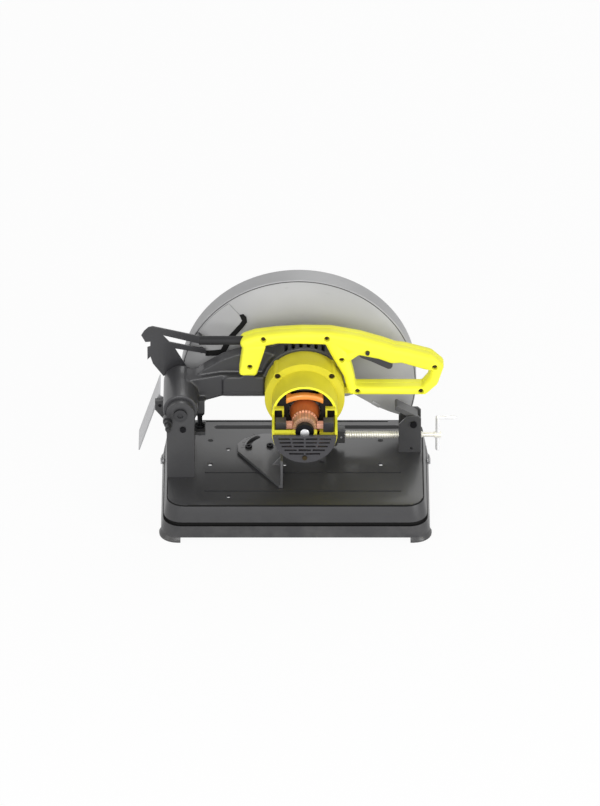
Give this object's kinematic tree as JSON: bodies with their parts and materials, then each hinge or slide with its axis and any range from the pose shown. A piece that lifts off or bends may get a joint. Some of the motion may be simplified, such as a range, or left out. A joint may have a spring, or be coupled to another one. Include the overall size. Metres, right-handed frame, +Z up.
{
  "type": "abrasive chop saw",
  "caption": "Bench chop saw: motor head and wheel guard hinged over a flat steel base with a fence and a screw vise, motor housing cut open, no wheel fitted.",
  "frame": {"origin": "on the bench under the middle of the base, in the plane of the feet", "axes": "+X from the head's pivot to the operator's vise crank, -Y to the motor side, +Z up"},
  "size_m": [0.5222, 0.286, 0.3564],
  "materials": {
    "dark_paint": "gloss",
    "dark_casting": "satin",
    "silver_paint": "satin",
    "yellow_plastic": "satin",
    "black_plastic": "matte",
    "black_rubber": "matte",
    "coil_lacquer": "gloss",
    "copper": "satin",
    "bright_steel": "polished",
    "plated_steel": "satin"
  },
  "bodies": {
    "base": {"base_pan": "dark_paint", "base_feet": "black_rubber", "base_side_bolts": "plated_steel", "pivot_bracket": "dark_paint", "pivot_bracket_bolts": "plated_steel", "deck_nuts": "plated_steel", "pivot_shaft": "bright_steel", "pivot_nut": "plated_steel", "bracket_screws": "plated_steel", "return_spring": "plated_steel", "depth_stop_bolt": "plated_steel", "depth_stop_nut": "plated_steel", "fence_bolts": "plated_steel", "vise_bracket": "dark_paint", "vise_bracket_bolts": "plated_steel", "lever_bolt": "plated_steel"},
    "head": {"arm_casting": "dark_casting", "gear_cover": "dark_casting", "wheel_guard": "silver_paint", "guard_cover": "silver_paint", "guard_screws": "plated_steel", "guard_panel": "silver_paint", "panel_seal": "black_rubber", "rear_bracket": "dark_casting", "motor_housing": "yellow_plastic", "end_cap": "black_plastic", "motor_screws": "plated_steel", "stator_core": "plated_steel", "field_coils": "coil_lacquer", "brush_holders": "black_plastic", "brushes": "copper", "armature_bearings": "plated_steel", "spindle_bearings": "plated_steel", "handle_near": "yellow_plastic", "handle_far": "yellow_plastic", "handle_screws": "plated_steel", "switch_box": "black_plastic", "cord_sleeve": "black_rubber"},
    "spindle": {"spindle": "bright_steel", "drive_gear": "plated_steel", "inner_flange": "plated_steel", "outer_flange": "plated_steel", "wheel_bolt": "plated_steel"},
    "armature": {"armature_shaft": "bright_steel", "armature_core": "plated_steel", "armature_windings": "copper", "commutator": "copper", "fan": "black_plastic", "pinion": "plated_steel"},
    "trigger": {"trigger": "black_plastic"},
    "lock_button": {"lock_button": "black_plastic"},
    "fence": {"fence": "dark_paint"},
    "carriage": {"jaw_yoke": "dark_paint", "jaw_pin": "plated_steel"},
    "jaw": {"vise_jaw": "dark_paint"},
    "screw": {"vise_screw": "bright_steel", "crank_rod": "bright_steel"},
    "lever": {"vise_lever": "dark_paint"},
    "lock_pin": {"lock_pin": "black_plastic"},
    "deflector": {"spark_deflector": "silver_paint"}
  },
  "joints": [
    {"name": "head_tilt", "type": "hinge", "parent": "base", "child": "head", "pos_m": [-0.187, 0, 0.1854], "axis": [0, -1, 0], "range_deg": [0, 45]},
    {"name": "spindle_spin", "type": "hinge", "parent": "head", "child": "spindle", "pos_m": [0.005, 0, 0.1634], "axis": [0, 1, 0], "continuous": true},
    {"name": "armature_spin", "type": "hinge", "parent": "head", "child": "armature", "pos_m": [0.015, 0, 0.20378], "axis": [0, 1, 0], "continuous": true},
    {"name": "trigger_press", "type": "hinge", "parent": "head", "child": "trigger", "pos_m": [0.11, 0.007, 0.277], "axis": [0, -1, 0], "range_deg": [0, 8]},
    {"name": "lock_press", "type": "slide", "parent": "head", "child": "lock_button", "axis": [0, 1, 0], "range_m": [0, 0.003]},
    {"name": "fence_swing", "type": "hinge", "parent": "base", "child": "fence", "pos_m": [-0.0418, 0.0405, 0.07], "axis": [0, 0, 1], "range_deg": [0, 45]},
    {"name": "jaw_slide", "type": "slide", "parent": "base", "child": "carriage", "axis": [1, 0, 0], "range_m": [0, 0.085]},
    {"name": "jaw_swivel", "type": "hinge", "parent": "carriage", "child": "jaw", "pos_m": [0.06, 0.046, 0.09], "axis": [0, 0, 1], "range_deg": [-15, 15]},
    {"name": "screw_turn", "type": "hinge", "parent": "carriage", "child": "screw", "pos_m": [0.15, 0.046, 0.09], "axis": [1, 0, 0], "range_deg": [0, 7650]},
    {"name": "lever_flip", "type": "hinge", "parent": "base", "child": "lever", "pos_m": [0.193, 0.046, 0.1196], "axis": [0, 1, 0], "range_deg": [0, 70]},
    {"name": "lock_pull", "type": "slide", "parent": "base", "child": "lock_pin", "axis": [0, -1, 0], "range_m": [0, 0.008]},
    {"name": "deflector_tilt", "type": "hinge", "parent": "base", "child": "deflector", "pos_m": [-0.222, 0.0726, 0.136], "axis": [0, 1, 0], "range_deg": [-15, 15]}
  ],
  "couplings": [
    {"joint": "armature_spin", "follows": "spindle_spin", "ratio": -4.7778},
    {"joint": "screw_turn", "follows": "jaw_slide", "rad_per_m": 1570.8}
  ]
}
